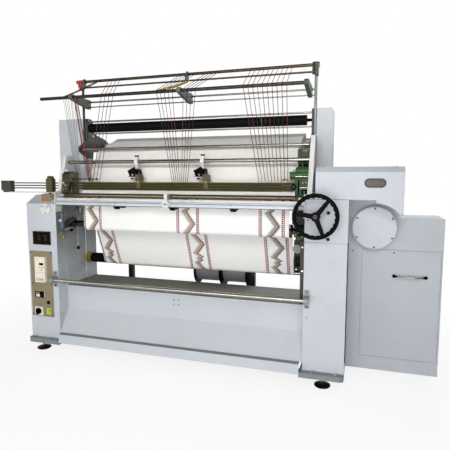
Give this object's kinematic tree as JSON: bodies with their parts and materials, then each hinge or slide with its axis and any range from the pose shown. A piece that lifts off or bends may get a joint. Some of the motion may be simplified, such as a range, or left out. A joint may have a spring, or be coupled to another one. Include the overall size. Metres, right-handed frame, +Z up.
{
  "type": "crochet knitting machine",
  "caption": "Crochet knitting machine with painted side columns, a needle bed, a yarn-guide frame, take-down rollers with patterned cloth, a drive cabinet and a handwheel.",
  "frame": {"origin": "on the floor under the middle of the whole machine's bounding box", "axes": "+X to the drive cabinet along the machine, +Y from the operator to the back, +Z up"},
  "size_m": [2.982, 0.83, 1.954],
  "materials": {
    "paint": "satin light blue-grey machine paint",
    "plate_grey": "darker grey paint",
    "deck_grey": "dark grey sheet, worn",
    "bed_steel": "milled steel, slightly oiled",
    "chrome": "bright ground rod",
    "bronze": "bronze guide bars",
    "olive": "dark olive coated metal",
    "aluminium": "anodised extrusion",
    "white_metal": "white paint",
    "green_casting": "green hammer paint on castings",
    "black_metal": "black oxide",
    "black_rubber": "smooth black rubber",
    "dark_steel": "dark oxidised steel",
    "yarn": "wound and stretched yarn",
    "cloth": "white knitted cloth with zigzag bands",
    "black_plastic": "black moulded plastic",
    "panel_bronze": "bronze-beige panel paint",
    "dark_glass": "dark window",
    "grey_plastic": "grey housings",
    "green_plastic": "yellow-green button",
    "beige_plastic": "beige box",
    "blue_metal": "blue-grey fittings"
  },
  "bodies": {
    "frame": {"base_plates": "plate_grey", "levelling_feet": "chrome", "left_column": "paint", "right_column": "paint", "rear_posts": "paint", "front_panel": "paint", "deck_panel": "deck_grey", "base_beam": "paint", "needle_bed": "bed_steel", "front_rail": "aluminium", "rail_brackets": "white_metal", "end_plates": "white_metal", "left_lifter": "olive", "right_lifter": "green_casting", "tension_rod": "chrome", "hanger_clamps": "white_metal", "hanger_bodies": "black_metal", "guide_rods": "chrome", "roller_brackets": "dark_steel", "warp_sheet": "yarn", "yarn_frame": "dark_steel", "yarn_bar": "dark_steel", "yarn_brackets": "olive", "weft_yarns": "yarn", "roller_bearings": "green_casting", "fabric": "cloth", "beam_stand": "dark_steel", "stop_brackets": "dark_steel", "control_plate": "panel_bronze", "display_window": "dark_glass", "panel_units": "grey_plastic", "bearing_cap": "white_metal", "junction_box": "beige_plastic", "hood": "paint", "round_cover": "paint", "cabinet": "paint", "motor": "plate_grey", "drive_belt": "black_rubber", "side_rail": "dark_steel", "wall_fittings": "blue_metal"},
    "needle_bar": {"needle_bar": "chrome"},
    "guide_bar": {"guide_bar": "bronze"},
    "weft_bar_1": {"weft_bar_1": "olive"},
    "weft_bar_2": {"weft_bar_2": "olive"},
    "weft_bar_3": {"weft_bar_3": "olive"},
    "feed_roller": {"feed_roller": "black_rubber"},
    "warp_beam": {"warp_beam": "yarn"},
    "takedown_roller": {"takedown_roller": "dark_steel"},
    "press_roller": {"press_roller": "black_rubber"},
    "cloth_roller": {"cloth_roller": "black_rubber"},
    "spools": {"spools": "black_plastic"},
    "stop_rod": {"stop_rod": "chrome"},
    "switch_knob": {"switch_knob": "black_plastic"},
    "black_button": {"black_button": "black_plastic"},
    "green_button": {"green_button": "green_plastic"},
    "cabinet_cover": {"cabinet_cover": "paint", "cover_handle": "black_plastic"},
    "main_pulley": {"main_pulley": "dark_steel"},
    "motor_pulley": {"motor_pulley": "dark_steel"},
    "handwheel": {"handwheel": "black_plastic"}
  },
  "joints": [
    {"name": "needle_stroke", "type": "slide", "parent": "frame", "child": "needle_bar", "axis": [0, 1, 0], "range_m": [0, 0.014]},
    {"name": "guide_shog", "type": "slide", "parent": "frame", "child": "guide_bar", "axis": [1, 0, 0], "range_m": [-0.006, 0.006]},
    {"name": "weft_1_throw", "type": "slide", "parent": "frame", "child": "weft_bar_1", "axis": [1, 0, 0], "range_m": [-0.025, 0.025]},
    {"name": "weft_2_throw", "type": "slide", "parent": "frame", "child": "weft_bar_2", "axis": [1, 0, 0], "range_m": [-0.025, 0.025]},
    {"name": "weft_3_throw", "type": "slide", "parent": "frame", "child": "weft_bar_3", "axis": [1, 0, 0], "range_m": [-0.025, 0.025]},
    {"name": "feed_turn", "type": "hinge", "parent": "frame", "child": "feed_roller", "pos_m": [-0.112, 0.08, 1.6], "axis": [1, 0, 0], "continuous": true},
    {"name": "warp_beam_turn", "type": "hinge", "parent": "frame", "child": "warp_beam", "pos_m": [-0.112, 0.3, 1.485], "axis": [1, 0, 0], "continuous": true},
    {"name": "takedown_turn", "type": "hinge", "parent": "frame", "child": "takedown_roller", "pos_m": [-0.112, -0.2045, 0.9], "axis": [1, 0, 0], "continuous": true},
    {"name": "press_turn", "type": "hinge", "parent": "frame", "child": "press_roller", "pos_m": [-0.112, -0.14674, 0.91548], "axis": [1, 0, 0], "continuous": true},
    {"name": "cloth_turn", "type": "hinge", "parent": "frame", "child": "cloth_roller", "pos_m": [-0.112, 0.042, 0.625], "axis": [1, 0, 0], "continuous": true},
    {"name": "spool_turn", "type": "hinge", "parent": "frame", "child": "spools", "pos_m": [-0.112, 0.3, 0.537], "axis": [1, 0, 0], "continuous": true},
    {"name": "stop_rod_turn", "type": "hinge", "parent": "frame", "child": "stop_rod", "pos_m": [-0.112, -0.36, 0.531], "axis": [1, 0, 0], "range_deg": [-15, 15]},
    {"name": "main_switch", "type": "hinge", "parent": "frame", "child": "switch_knob", "pos_m": [-1.122, -0.332, 0.292], "axis": [0, 1, 0], "range_deg": [0, 90]},
    {"name": "black_press", "type": "slide", "parent": "frame", "child": "black_button", "axis": [0, 1, 0], "range_m": [0, 0.004], "stiffness_N_per_m": 500},
    {"name": "green_press", "type": "slide", "parent": "frame", "child": "green_button", "axis": [0, 1, 0], "range_m": [0, 0.004], "stiffness_N_per_m": 500},
    {"name": "cover_lift_off", "type": "slide", "parent": "frame", "child": "cabinet_cover", "axis": [0, -1, 0], "range_m": [0, 0.12]},
    {"name": "main_turn", "type": "hinge", "parent": "frame", "child": "main_pulley", "pos_m": [1.114, -0.091, 0.87], "axis": [0, 1, 0], "continuous": true},
    {"name": "motor_turn", "type": "hinge", "parent": "frame", "child": "motor_pulley", "pos_m": [1.288, -0.091, 0.195], "axis": [0, 1, 0], "continuous": true},
    {"name": "handwheel_turn", "type": "hinge", "parent": "frame", "child": "handwheel", "pos_m": [0.799, -0.39, 1.017], "axis": [0, 1, 0], "continuous": true}
  ],
  "couplings": [
    {"joint": "press_turn", "follows": "takedown_turn", "ratio": -1.0692},
    {"joint": "cloth_turn", "follows": "takedown_turn", "ratio": 0.8374},
    {"joint": "handwheel_turn", "follows": "main_turn", "ratio": 1},
    {"joint": "motor_turn", "follows": "main_turn", "ratio": 2.375}
  ]
}
